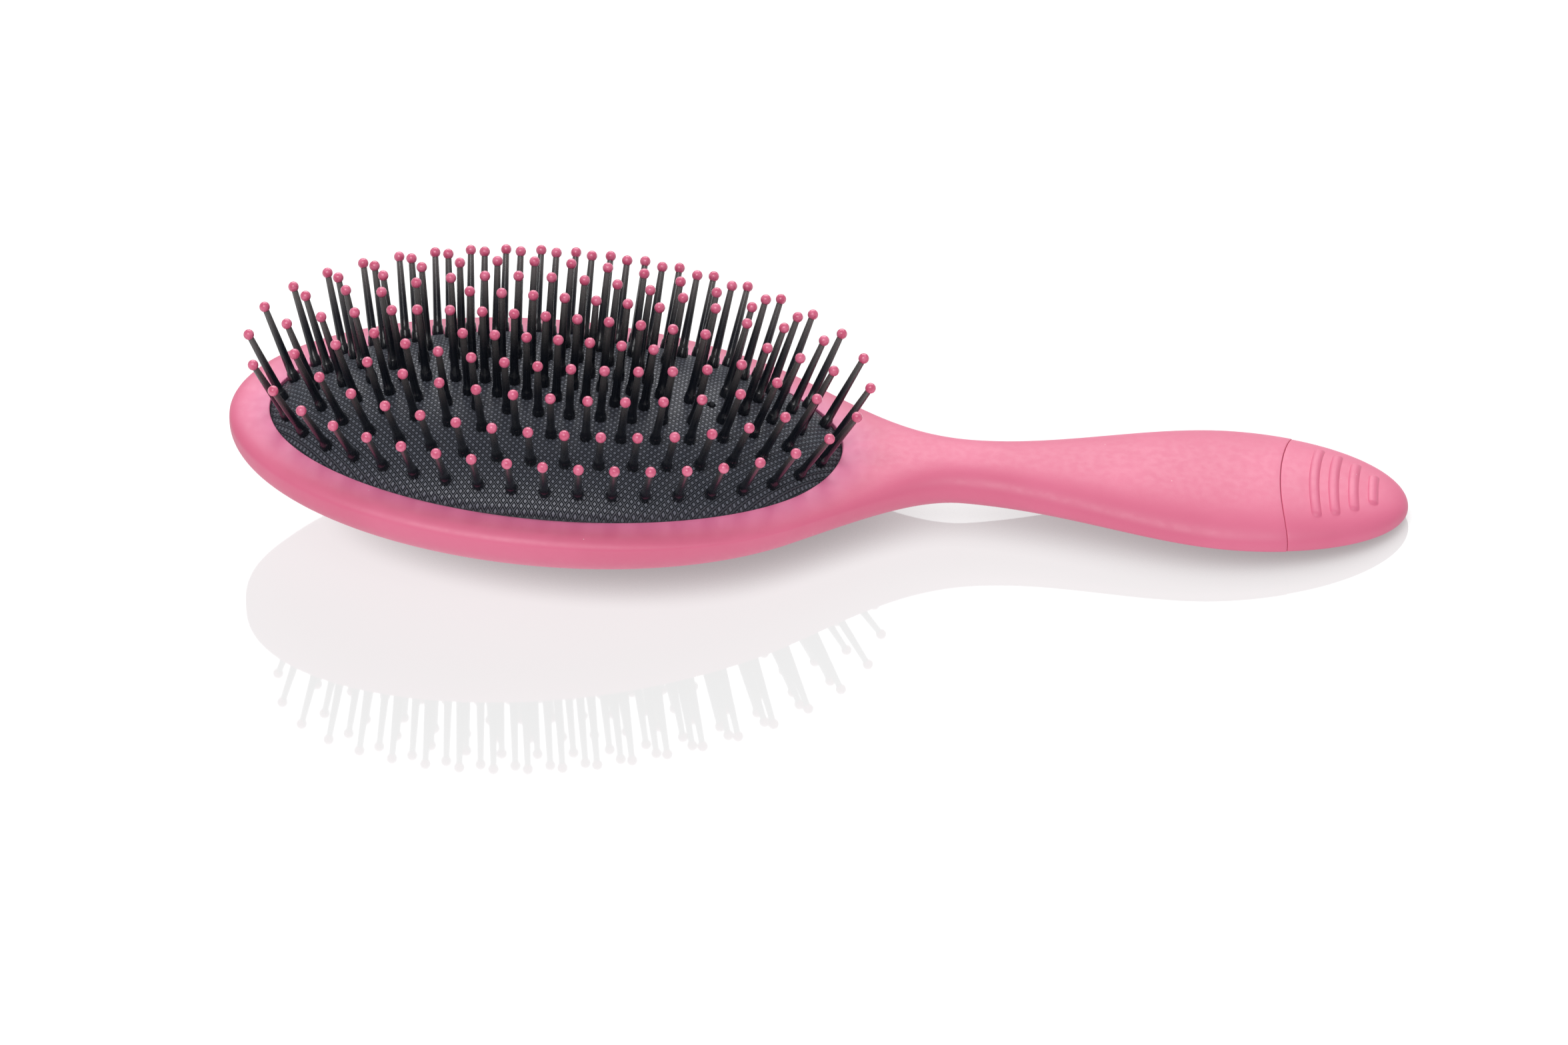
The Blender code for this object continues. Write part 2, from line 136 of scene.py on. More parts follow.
# Pins, in loops of even pitch, two side rows and a middle row. A loop is (name, pins, half length,
# half width, strips). A hole's reach runs from below the pad's skin to above it. The collar's
# outline is (distance along the pin, radius).
LOOPS = (
    ("outer", 40, 52.2, 25.95, 4),
    ("second", 34, 46.25, 20.65, 4),
    ("third", 28, 40.8, 14.6, 4),
    ("fourth", 26, 35.4, 9.2, 4),
)
ROW_PITCH = 5.56
SIDE_ROW_PINS = 7
SIDE_ROW_Y = 4.2
MIDDLE_ROW_PINS = 10
ROW_END_X = 29.3
PIN_LENGTH = 15.8
TIP_RADIUS = 1.03
LEAN_X = (0.274, 0.274)
LEAN_Y = (1.265, -0.542)
HOLE_RADIUS = 0.98
HOLE_REACH = (-6, 1.5)
VENT_RADIUS = 0.85
VENT_REACH = (-5, 3)
STRIP_DEPTH = 3.2
STRIP_HALF_WIDTH = 1.1
STRIP_HALF_THICKNESS = 0.55
COLLAR = ((-0.15, 0.9), (-0.1, 1.1), (0.12, 1.14), (0.45, 1.18), (0.9, 1.12), (1.65, 1.02),
          (1.85, 0.93))
SHAFT_FOOT_RADIUS = 0.86
SHAFT_TOP_RADIUS = 0.6
SHAFT_ABOVE_COLLAR = 0.08
SHAFT_INTO_TIP = 0.15
PARTING_RISE = 0.045

# End cap. The tongue's outline is (x, half width), and a rib is (distance past the seam, half
# length).
SEAM_X = 138.0
SEAM_BOW = 0.0082
BOW_ACCURACY = 0.002
BOW_BEGINS_X = 112
BOW_FULL_X = 132
CAP_INSET = 0.1
SEAM_GAP = 0.07
EDGE_ROUND = 0.2
TONGUE = ((94.0, 5.2), (96.0, 6.4), (128.0, 9.8), (138.0, 10.4), (149.0, 8.6), (150.0, 7.6))
TONGUE_HALF_HEIGHT = 1.8
TONGUE_Z = -0.4
SOCKET_SQUARENESS = 8
RIBS = ((6.5, 10.9), (10.2, 9.6), (14.0, 7.6), (17.8, 4.8))
RIB_HALF_WIDTH = 1.0
RIB_RISE = 0.45
RIB_FLATNESS = 2.6
RIB_SHOULDER = 0.9

# How finely the skins are divided. The underside's rings are shares of its outline.
BODY_SIDES = 160
HEAD_RINGS = 84
HEAD_CROWDING = 1.15
HANDLE_RINGS = 76
CAP_SIDES = 320
NOSE_RINGS = 22
POCKET_SIDES = 220
UNDERSIDE_SIDES = 96
UNDERSIDE_RINGS = (0.97, 0.9, 0.8, 0.6, 0.3)
PIN_SIDES = 16
SHAFT_STEPS = 7
TIP_SIDES = 20
TIP_STEPS = 12
HOLE_SIDES = 12
VENT_SIDES = 20
QUARTER_TURN = tuple(math.radians(degrees) for degrees in (0, 22.5, 45, 67.5, 90))

# Colours, linear. Where a material's pattern isn't drawn, its plain colour stands in.
PINK = (0.82, 0.158, 0.295, 1)
PINK_DEEP = (0.77, 0.138, 0.265, 1)
# Painted light and painted reflection: a lighter, bluer pink on the rim beside the pad.
PINK_PAINTED_LIGHT_NEAR_PAD = (0.92, 0.21, 0.42, 1)
PINK_DUST = (0.95, 0.75, 0.80, 1)
RUBBER_PLAIN = (0.02, 0.02, 0.024, 1)
# Painted shade in the net's grooves, painted light on its ridges and squares.
RUBBER_GROOVE_SHADE = (0.006, 0.008, 0.014, 1)
RUBBER_CREST_LIGHT = (0.135, 0.145, 0.178, 1)
RUBBER_BLOOM = (0.10, 0.10, 0.11, 1)
RUBBER_DUST = (0.5, 0.5, 0.5, 1)
NYLON_PLAIN = (0.01, 0.012, 0.018, 1)
NYLON_BLACK = (0.007, 0.010, 0.018, 1)
# Painted light at the pins' tips, where light shows through the smoky nylon.
NYLON_SMOKY_LIT = (0.155, 0.145, 0.142, 1)
NYLON_DUST = (0.45, 0.46, 0.48, 1)
TIP_PLAIN = (0.72, 0.1, 0.2, 1)
TIP_PINK = (0.85, 0.19, 0.33, 1)
TIP_PINK_DEEP = (0.70, 0.10, 0.21, 1)
TONGUE_GREYS = ((0.62, 0.62, 0.64, 1), (0.70, 0.70, 0.72, 1))
RING_GREYS = ((0.045, 0.045, 0.05, 1), (0.06, 0.06, 0.066, 1))
FLOOR_PLAIN = (0.12, 0.12, 0.12, 1)
FLOOR_GREYS = ((0.115, 0.115, 0.115, 1), (0.125, 0.125, 0.125, 1))
WHITE = (1, 1, 1, 1)

# Where the head's painted light beside the pad ends and over what width it fades, as shares of the
# pad's reach. It is a lighter, bluer pink that stands in for light against the pins' shade and for
# the pad's reflection.
PAINTED_LIGHT_ENDS = 1.13
PAINTED_LIGHT_FADE = 0.12


# ---------------------------------------------------------------- shapes

def eased(x, start, end):
    """The cubic through start and end, each (x, value, slope)."""
    length = end[0] - start[0]
    t = (x - start[0]) / length
    keep = 1 - 3 * t * t + 2 * t ** 3
    pull = (t - 2 * t * t + t ** 3) * start[2] + (t ** 3 - t * t) * end[2]
    return keep * start[1] + (1 - keep) * end[1] + pull * length


def head_fraction(x, power):
    reach = (x - HEAD_CENTRE_X) / HEAD_HALF_LENGTH
    return max(0.0, 1 - reach * reach) ** power


def head_slope(size, power):
    step = 0.01
    ahead = head_fraction(HEAD_LEAVES_X + step, power)
    return size * (ahead - head_fraction(HEAD_LEAVES_X, power)) / step


def smooth(t):
    t = min(1.0, max(0.0, t))
    return t * t * (3 - 2 * t)


def nose_fraction(x, power, inset):
    reach = max(0.0, (x - PALM_X) / (HANDLE_END_X - inset - PALM_X))
    return max(0.0, 1 - reach * reach) ** power


def half_width(x, inset=0.0):
    if x <= HEAD_LEAVES_X:
        return HEAD_HALF_WIDTH * head_fraction(x, 0.5) - inset
    neck = (NECK_X, NECK_HALF_WIDTH, 0.0)
    if x <= NECK_X:
        leaving = HEAD_HALF_WIDTH * head_fraction(HEAD_LEAVES_X, 0.5)
        return eased(x, (HEAD_LEAVES_X, leaving, head_slope(HEAD_HALF_WIDTH, 0.5)), neck) - inset
    if x <= PALM_X:
        return eased(x, neck, (PALM_X, PALM_HALF_WIDTH, 0.0)) - inset
    return (PALM_HALF_WIDTH - inset) * nose_fraction(x, 0.5, inset)


def widest_z(x):
    neck_z = (NECK_TOP + NECK_BOTTOM) / 2
    if x <= HEAD_LEAVES_X:
        return HEAD_WIDEST_Z
    if x <= NECK_X:
        return eased(x, (HEAD_LEAVES_X, HEAD_WIDEST_Z, 0), (NECK_X, neck_z, 0))
    return eased(x, (NECK_X, neck_z, 0), (HANDLE_END_X, HANDLE_END_Z, 0))


def top_z(x, inset=0.0):
    if x <= HEAD_LEAVES_X:
        rise = HEAD_RIM_TOP - HEAD_WIDEST_Z
        return HEAD_WIDEST_Z + rise * head_fraction(x, HEAD_RIM_POWER) - inset
    if x <= NECK_X:
        return eased(x, (HEAD_LEAVES_X, top_z(HEAD_LEAVES_X), 0), (NECK_X, NECK_TOP, 0)) - inset
    if x <= PALM_X:
        return eased(x, (NECK_X, NECK_TOP, 0), (PALM_X, PALM_TOP, 0)) - inset
    rise = PALM_TOP - inset - widest_z(PALM_X)
    return widest_z(x) + rise * nose_fraction(x, HANDLE_NOSE_POWER, inset)


def bottom_z(x, inset=0.0):
    depth = HEAD_DEPTH + HEAD_WIDEST_Z
    if x <= HEAD_LEAVES_X:
        return HEAD_WIDEST_Z - depth * head_fraction(x, HEAD_BOWL_POWER) + inset
    neck = (NECK_X, NECK_BOTTOM, 0)
    if x <= NECK_X:
        leaving = (HEAD_LEAVES_X, bottom_z(HEAD_LEAVES_X), -head_slope(depth, HEAD_BOWL_POWER))
        return eased(x, leaving, neck) + inset
    if x <= PALM_X:
        return eased(x, neck, (PALM_X, PALM_BOTTOM, 0)) + inset
    drop = PALM_BOTTOM + inset - widest_z(PALM_X)
    return widest_z(x) + drop * nose_fraction(x, HANDLE_NOSE_POWER, inset)


def turns(sides):
    return [2 * math.pi * i / sides for i in range(sides)]


def powered(value, squareness):
    return math.copysign(abs(value) ** (2 / squareness), value)


def rim_rise(reach):
    """The rolled rim's height over its widest line. The reach is the share of the way out from
    the head's middle to its outline."""
    outer = min(1.0, max(0.0, (reach - RIM_CREST_AT) / (1 - RIM_CREST_AT)))
    inner = min(RIM_INNER_LIMIT, max(0.0, (RIM_CREST_AT - reach) / (RIM_CREST_AT - RIM_INNER_AT)))
    return (RIM_CREST - HEAD_WIDEST_Z) * math.sqrt(1 - outer * outer) - RIM_FALL * inner * inner


def upper_rise(x, edge, inset=0.0):
    """The upper side's height over the widest line; edge is the share of the half width. The head's
    rolled rim runs out into the neck's plain arch."""
    arch = (top_z(x, inset) - widest_z(x)) * (1 - edge ** TOP_SQUARENESS) ** (1 / TOP_SQUARENESS)
    if x > HEAD_LEAVES_X:
        return arch
    along = (x - HEAD_CENTRE_X) / HEAD_HALF_LENGTH
    reach = math.sqrt(min(1.0, along * along + edge * edge * (1 - along * along)))
    neckward = smooth(x / HEAD_LEAVES_X)
    return rim_rise(reach) * (1 - neckward) + arch * neckward


def shell_point(x, turn, inset):
    """The outer shell's point at this turn of the section at x, drawn in by inset."""
    across, rise = math.cos(turn), math.sin(turn)
    wide, middle = half_width(x, inset), widest_z(x)
    if rise > 0:
        edge = abs(powered(across, TOP_SQUARENESS))
        return x, math.copysign(edge, across) * wide, middle + upper_rise(x, edge, inset)
    slack = BOWL_SLACK * (1 - smooth((x - HEAD_LEAVES_X) / (NECK_X - HEAD_LEAVES_X)))
    squareness = UNDERSIDE_SQUARENESS - slack * math.sin(2 * turn) ** 2
    drop = middle - bottom_z(x, inset)
    return x, powered(across, squareness) * wide, middle + powered(rise, squareness) * drop


def shell_ring(x, inset, sides, bow=0.0):
    """A section of the outer shell that crosses the middle at x. With bow it curves like the
    cap's seam."""
    ring = []
    for turn in turns(sides):
        near, far = x, x + bow * PALM_HALF_WIDTH ** 2
        while far - near > BOW_ACCURACY:
            middle = (near + far) / 2
            y = shell_point(middle, turn, inset)[1]
            near, far = (near, middle) if middle - x > bow * y * y else (middle, far)
        ring.append(shell_point((near + far) / 2, turn, inset))
    return ring


def socket_ring(x, wide, sides, bow=0.0):
    """The outline of the slot that the tongue slides in."""
    ring = []
    for turn in turns(sides):
        y = powered(math.cos(turn), SOCKET_SQUARENESS) * (wide + GAP)
        z = powered(math.sin(turn), SOCKET_SQUARENESS) * (TONGUE_HALF_HEIGHT + GAP)
        ring.append((x + bow * y * y, y, TONGUE_Z + z))
    return ring


def ellipse(half_length, half_breadth, z, sides):
    return [(half_length * math.cos(t), half_breadth * math.sin(t), z) for t in turns(sides)]


def surface_z(x, y):
    """Height of the outer shell's upper side."""
    return widest_z(x) + upper_rise(x, min(1.0, abs(y) / half_width(x)))


def skin(rings):
    """Points and faces of a closed skin over rings. A ring of one point is a pole."""
    points = [point for ring in rings for point in ring]
    faces = []
    start = 0
    for first, second in zip(rings, rings[1:]):
        after = start + len(first)
        count = max(len(first), len(second))
        for i in range(count):
            j = (i + 1) % count
            if len(first) == 1:
                faces.append((start, after + i, after + j))
            elif len(second) == 1:
                faces.append((start + j, start + i, after))
            else:
                faces.append((start + j, start + i, after + i, after + j))
        start = after
    if len(rings[0]) > 2:
        faces.append(tuple(range(len(rings[0]))))
    if len(rings[-1]) > 2:
        faces.append(tuple(range(len(points) - 1, start - 1, -1)))
    return points, faces


def joined(parts):
    """Several (points, faces) as one."""
    points, faces = [], []
    for more, sides in parts:
        base = len(points)
        points.extend(more)
        faces.extend(tuple(base + i for i in face) for face in sides)
    return points, faces


def add_mesh(name, points, faces, sharp_deg=35):
    """An object in the row frame from points in millimetres in the brush's frame. Edges that
    turn by more than sharp_deg stay sharp; with None, all of them do."""
    mesh = bpy.data.meshes.new(name)
    mesh.from_pydata([(x * MM, y * MM, z * MM) for x, y, z in points], [], faces)
    mesh.transform(BRUSH)
    bm = bmesh.new()
    bm.from_mesh(mesh)
    bmesh.ops.recalc_face_normals(bm, faces=bm.faces)
    bm.to_mesh(mesh)
    bm.free()
    if sharp_deg:
        shade(mesh, sharp_deg)
    made = bpy.data.objects.new(name, mesh)
    bpy.context.scene.collection.objects.link(made)
    return made


def shade(mesh, sharp_deg):
    mesh.shade_smooth()
    mesh.set_sharp_from_angle(angle=math.radians(sharp_deg))


def cut(thing, cutter):
    """Takes cutter out of thing for good, and removes cutter."""
    step = thing.modifiers.new("cut", "BOOLEAN")
    step.operation = "DIFFERENCE"
    step.solver = "MANIFOLD"
    step.object = cutter
    shown = thing.evaluated_get(bpy.context.evaluated_depsgraph_get())
    mesh = bpy.data.meshes.new_from_object(shown)
    thing.modifiers.clear()
    thing.data = mesh
    bpy.data.objects.remove(cutter)


def store(thing, name, values):
    """Keeps one number for each of thing's points, for its material."""
    made = thing.data.attributes.new(name, "FLOAT", "POINT")
    made.data.foreach_set("value", np.array(values, np.float32))


def finish_piece(piece, body, nodes, material):
    piece.data.materials.clear()
    piece.data.materials.append(material)
    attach(piece, body)
    if nodes:
        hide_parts(*nodes)


# ---------------------------------------------------------------- materials

def new_material(name, colour, roughness, **more):
    """A Principled material, with its node tree and its shader."""
    made = bpy.data.materials.new(name)
    made.use_nodes = True
    shader = made.node_tree.nodes["Principled BSDF"]
    shader.inputs["Base Color"].default_value = colour
    shader.inputs["Roughness"].default_value = roughness
    for socket, value in more.items():
        shader.inputs[socket.replace("_", " ")].default_value = value
    return made, made.node_tree, shader


def place(tree):
    """The point in the row frame, in metres."""
    return tree.nodes.new("ShaderNodeTexCoord").outputs["Object"]


def noise(tree, scale, detail=2.0):
    made = tree.nodes.new("ShaderNodeTexNoise")
    made.inputs["Scale"].default_value = scale
    made.inputs["Detail"].default_value = detail
    tree.links.new(place(tree), made.inputs["Vector"])
    return made.outputs["Fac"]


def attribute(tree, name):
    made = tree.nodes.new("ShaderNodeAttribute")
    made.attribute_name = name
    return made.outputs["Fac"]


def math_node(tree, operation, a, b=0.0):
    made = tree.nodes.new("ShaderNodeMath")
    made.operation = operation
    made.use_clamp = True
    for socket, value in zip(made.inputs, (a, b)):
        if isinstance(value, (int, float)):
            socket.default_value = value
        else:
            tree.links.new(value, socket)
    return made.outputs["Value"]


def ranged(tree, source, low, high, new_low=0.0, new_high=1.0):
    made = tree.nodes.new("ShaderNodeMapRange")
    made.interpolation_type = "SMOOTHSTEP"
    ends = {"From Min": low, "From Max": high, "To Min": new_low, "To Max": new_high}
    for socket, value in ends.items():
        made.inputs[socket].default_value = value
    tree.links.new(source, made.inputs["Value"])
    return made.outputs["Result"]


def mixed(tree, factor, first, second):
    made = tree.nodes.new("ShaderNodeMix")
    made.data_type = "RGBA"
    tree.links.new(factor, made.inputs["Factor"])
    for socket, value in (("A", first), ("B", second)):
        inlet = [i for i in made.inputs if i.name == socket and i.type == "RGBA"][0]
        if isinstance(value, tuple):
            inlet.default_value = value
        else:
            tree.links.new(value, inlet)
    return [o for o in made.outputs if o.type == "RGBA"][0]


def specks(tree, spacing, size, share):
    """Small round specks: about one for each cell of the spacing, kept for a share of the cells."""
    made = tree.nodes.new("ShaderNodeTexVoronoi")
    made.inputs["Scale"].default_value = 1 / spacing
    tree.links.new(place(tree), made.inputs["Vector"])
    near = ranged(tree, made.outputs["Distance"], size / spacing, size / spacing * 0.5)
    split = tree.nodes.new("ShaderNodeSeparateColor")
    tree.links.new(made.outputs["Color"], split.inputs["Color"])
    kept = math_node(tree, "LESS_THAN", split.outputs["Red"], share)
    return math_node(tree, "MULTIPLY", near, kept)


def bumped(tree, shader, height, distance, strength):
    made = tree.nodes.new("ShaderNodeBump")
    made.inputs["Distance"].default_value = distance
    made.inputs["Strength"].default_value = strength
    tree.links.new(height, made.inputs["Height"])
    tree.links.new(made.outputs["Normal"], shader.inputs["Normal"])


def roughened(tree, shader, scale, low, high):
    """Roughness that wanders between low and high."""
    wander = ranged(tree, noise(tree, scale), 0.3, 0.7, low, high)
    tree.links.new(wander, shader.inputs["Roughness"])


def soft_touch():
    """Rubbery soft-touch paint: an even pink, with painted light and a painted reflection of the
    pad as a lighter, bluer pink close to the pad, with fine grain and dust.
    """
    made, tree, shader = new_material("soft touch pink", PINK, 0.5, Sheen_Weight=0.1,
                                      Sheen_Roughness=0.4, Specular_IOR_Level=0.9)
    base = mixed(tree, ranged(tree, noise(tree, 45, 3), 0.35, 0.65), PINK, PINK_DEEP)
    # Painted light and a painted reflection of the pad, on the rim beside it.
    base = mixed(tree, attribute(tree, "painted_light_near_pad"), base, PINK_PAINTED_LIGHT_NEAR_PAD)
    base = mixed(tree, specks(tree, spacing=0.0032, size=0.00011, share=0.25), base, PINK_DUST)
    tree.links.new(base, shader.inputs["Base Color"])
    roughened(tree, shader, 700, 0.47, 0.55)
    bumped(tree, shader, noise(tree, 5200, 3), distance=0.00004, strength=0.35)
    return made


def rubber():
    """Charcoal rubber, with painted shade in the net's grooves and painted light and glints on its
    ridges and squares, a little dusty."""
    made, tree, shader = new_material("pad rubber", RUBBER_PLAIN, 0.5)
    net_painted_light = attribute(tree, "net_painted_light")
    # Painted shade in the grooves, painted light and glints on the ridges and squares.
    base = mixed(tree, net_painted_light, RUBBER_GROOVE_SHADE, RUBBER_CREST_LIGHT)
    bloom = ranged(tree, noise(tree, 160, 4), 0.45, 0.75, 0.0, 0.15)
    base = mixed(tree, bloom, base, RUBBER_BLOOM)
    base = mixed(tree, specks(tree, spacing=0.0026, size=0.0001, share=0.2), base, RUBBER_DUST)
    tree.links.new(base, shader.inputs["Base Color"])
    tree.links.new(ranged(tree, net_painted_light, 0, 0.4, 0.6, 0.34), shader.inputs["Roughness"])
    bumped(tree, shader, noise(tree, 6000, 2), distance=0.00003, strength=0.3)
    return made


def pin_nylon():
    """Glossy near-black smoky nylon, painted lighter towards the tips for the light that shows
    through it, with a few specks of dust.
    """
    made, tree, shader = new_material("pin nylon", NYLON_PLAIN, 0.25, Coat_Weight=0.3,
                                      Coat_Roughness=0.12, Transmission_Weight=0.5)
    # Painted light: the pins turn lighter towards their tips, where light shows through the smoky
    # nylon.
    rise = ranged(tree, attribute(tree, "rise"), 0.4, 1.05)
    base = mixed(tree, rise, NYLON_BLACK, NYLON_SMOKY_LIT)
    base = mixed(tree, specks(tree, spacing=0.0018, size=0.00009, share=0.04), base, NYLON_DUST)
    tree.links.new(base, shader.inputs["Base Color"])
    roughened(tree, shader, 300, 0.22, 0.30)
    bumped(tree, shader, noise(tree, 600, 2), distance=0.00003, strength=0.1)
    return made


def tip_enamel():
    """Pearly pink balls."""
    made, tree, shader = new_material("tip pink", TIP_PLAIN, 0.3, Coat_Weight=0.5,
                                      Coat_Roughness=0.08)
    base = mixed(tree, ranged(tree, noise(tree, 900, 3), 0.35, 0.65), TIP_PINK, TIP_PINK_DEEP)
    tree.links.new(base, shader.inputs["Base Color"])
    roughened(tree, shader, 2500, 0.24, 0.38)
    bumped(tree, shader, noise(tree, 1800, 3), distance=0.00005, strength=0.25)
    return made


def moulded(name, colours, roughness):
    """Plain moulded plastic with faint flow marks between its two colours."""
    made, tree, shader = new_material(name, colours[0], roughness)
    base = mixed(tree, ranged(tree, noise(tree, 120, 4), 0.3, 0.7), *colours)
    tree.links.new(base, shader.inputs["Base Color"])
    roughened(tree, shader, 800, roughness - 0.06, roughness + 0.06)
    bumped(tree, shader, noise(tree, 2600, 3), distance=0.00004, strength=0.3)
    return made


# ---------------------------------------------------------------- handle and cap

def make_body(material):
    """The head, neck and handle up to the seam, then the socket for the cap's tongue."""
    leaves = math.acos((HEAD_CENTRE_X - HEAD_LEAVES_X) / HEAD_HALF_LENGTH)
    rings = [[(HEAD_CENTRE_X - HEAD_HALF_LENGTH, 0, HEAD_WIDEST_Z)]]
    for i in range(1, HEAD_RINGS + 1):
        turn = leaves * (i / HEAD_RINGS) ** HEAD_CROWDING
        rings.append(shell_ring(HEAD_CENTRE_X - HEAD_HALF_LENGTH * math.cos(turn), 0, BODY_SIDES))
    last = SEAM_X - EDGE_ROUND
    for i in range(1, HANDLE_RINGS):
        x = HEAD_LEAVES_X + (last - HEAD_LEAVES_X) * i / HANDLE_RINGS
        share = smooth((x - BOW_BEGINS_X) / (BOW_FULL_X - BOW_BEGINS_X))
        rings.append(shell_ring(x, 0, BODY_SIDES, SEAM_BOW * share))
    for turn in QUARTER_TURN:
        inset = EDGE_ROUND * (1 - math.cos(turn))
        rings.append(shell_ring(last + EDGE_ROUND * math.sin(turn), inset, BODY_SIDES, SEAM_BOW))
    first = TONGUE[0][0]
    for x, wide in reversed(TONGUE):
        if x <= SEAM_X:
            end = x if x > first else x - GAP
            rings.append(socket_ring(end, wide, BODY_SIDES, SEAM_BOW if x == SEAM_X else 0.0))
    rings.append([(first - GAP, 0, TONGUE_Z)])
    body = add_mesh("handle_and_head", *skin(rings))
    cut(body, add_mesh("pocket", *skin(pocket_rings())))
    rest_on_table(body)
    shade(body.data, sharp_deg=32)
    store(body, "painted_light_near_pad", [painted_light_near_pad(v.co) for v in body.data.vertices])
    finish_piece(body, "handle", ["handle_body"], material)


def painted_light_near_pad(point):
    """How much a point of the head takes the painted light and painted reflection beside the pad:
    most at the pad's edge.
    """
    x, y, z = BRUSH.inverted() @ point / MM
    reach = math.hypot(x / PAD_HALF_LENGTH, y / PAD_HALF_WIDTH)
    return min(1.0, max(0.0, (PAINTED_LIGHT_ENDS - reach) / PAINTED_LIGHT_FADE)) if z > HEAD_WIDEST_Z else 0.0


def rest_on_table(thing):
    """Flattens what would pass below the table, Z = 0."""
    for vertex in thing.data.vertices:
        vertex.co.z = max(0.0, vertex.co.z)


def pocket_rings():
    """The pad's opening with a rounded lip, the undercut below it and the air chamber."""
    lip = [(LIP_CUT_OUT, LIP_CUT_UP)]
    for turn in reversed(QUARTER_TURN):
        lip.append((LIP_ROUND * (1 - math.cos(turn)), LIP_ROUND * (math.sin(turn) - 1)))
    rings = []
    for out, above in lip:
        ring = []
        for x, y, _ in ellipse(*MOUTH, 0, POCKET_SIDES):
            rim = surface_z(x, y)
            normal = Vector((x / MOUTH[0] ** 2, y / MOUTH[1] ** 2)).normalized()
            ring.append((x + normal.x * out, y + normal.y * out, rim + above))
        rings.append(ring)
    undercut = (PAD_HALF_LENGTH + UNDERCUT_REACH, PAD_HALF_WIDTH + UNDERCUT_REACH)
    chamber = (PAD_HALF_LENGTH - CHAMBER_INSET, PAD_HALF_WIDTH - CHAMBER_INSET)
    rings.append(ellipse(*MOUTH, LIP_UNDERSIDE, POCKET_SIDES))
    rings.append(ellipse(*undercut, LIP_UNDERSIDE, POCKET_SIDES))
    rings.append(ellipse(*undercut, LEDGE_Z, POCKET_SIDES))
    for z, share in CHAMBER_STEPS:
        rings.append(ellipse(chamber[0] * share, chamber[1] * share, z, POCKET_SIDES))
    return rings


def rib_height(start, y):
    """How far the grip ribs stand off the cap, start past the seam and at this y."""
    for centre, half_length in RIBS:
        beyond = max(0.0, abs(y) - (half_length - RIB_HALF_WIDTH))
        reach = math.hypot(start - centre, beyond) / RIB_HALF_WIDTH
        if reach < 1:
            return RIB_RISE * (1 - reach ** RIB_FLATNESS) ** RIB_SHOULDER
    return 0.0


def cap_stations():
    """Where the cap's sections cross its middle, past the seam: close together over the ribs,
    with one between each two, then in even turns round the nose."""
    rib_edge = 0.85
    over_rib = (-1.1, -0.95, -rib_edge, -0.8, -0.7, -0.5, -0.25,
                0, 0.25, 0.5, 0.7, 0.8, rib_edge, 0.95, 1.1)
    before_ribs = (1.0, 2.3, 3.6, 4.8)
    after_rib = 1.85
    found = list(before_ribs)
    for centre, _ in RIBS:
        found += [centre + share * RIB_HALF_WIDTH / rib_edge for share in over_rib]
        found.append(centre + after_rib)
    nose = HANDLE_END_X - CAP_INSET
    first = math.asin((SEAM_X + found[-1] - PALM_X) / (nose - PALM_X))
    angles = [first + (math.pi / 2 - first) * i / NOSE_RINGS for i in range(1, NOSE_RINGS)]
    return found + [PALM_X + (nose - PALM_X) * math.sin(a) - SEAM_X for a in angles]


def make_cap(material):
    """The cap, from the bottom of its half of the tongue's slot out to its nose."""
    last = TONGUE[-1][0]
    rings = [[(last + GAP, 0, TONGUE_Z)]]
    for x, wide in reversed(TONGUE):
        if x >= SEAM_X:
            end = x + {SEAM_X: SEAM_GAP, last: GAP}.get(x, 0)
            rings.append(socket_ring(end, wide, CAP_SIDES, SEAM_BOW if x == SEAM_X else 0.0))
    for turn in reversed(QUARTER_TURN):
        x = SEAM_X + SEAM_GAP + EDGE_ROUND * (1 - math.sin(turn))
        inset = CAP_INSET + EDGE_ROUND * (1 - math.cos(turn))
        rings.append(shell_ring(x, inset, CAP_SIDES, SEAM_BOW))
    for start in cap_stations():
        ring = []
        for x, y, z in shell_ring(SEAM_X + start, CAP_INSET, CAP_SIDES, SEAM_BOW):
            out = math.copysign(rib_height(start, y), z - widest_z(x))
            ring.append((x, y, z + out))
        rings.append(ring)
    nose = HANDLE_END_X - CAP_INSET
    rings.append([(nose, 0, widest_z(nose))])
    cap = add_mesh("ribbed_end_cap", *skin(rings), sharp_deg=50)
    rest_on_table(cap)
    finish_piece(cap, "cap", ["end_cap"], material)


# ---------------------------------------------------------------- pad

def pad_height(x, y):
    reach = np.hypot(x / PAD_HALF_LENGTH, y / PAD_HALF_WIDTH)
    return PAD_RISE * (1 - np.minimum(reach, 1.0) ** PAD_CROWN_POWER)


def pad_normals(x, y):
    step = 0.05
    rise_x = (pad_height(x + step, y) - pad_height(x - step, y)) / (2 * step)
    rise_y = (pad_height(x, y + step) - pad_height(x, y - step)) / (2 * step)
    normals = np.stack([-rise_x, -rise_y, np.ones_like(rise_x)], -1)
    return normals / np.linalg.norm(normals, axis=-1, keepdims=True)


def skin_height(x, y):
    """The netted skin's height: the dome, dipping below the lip at its edge."""
    reach = np.hypot(x / PAD_HALF_LENGTH, y / PAD_HALF_WIDTH)
    share = np.clip((reach - EDGE_DIP_FROM) / (EDGE_DIP_TO - EDGE_DIP_FROM), 0, 1)
    return pad_height(x, y) - EDGE_DIP * share * share * (3 - 2 * share)


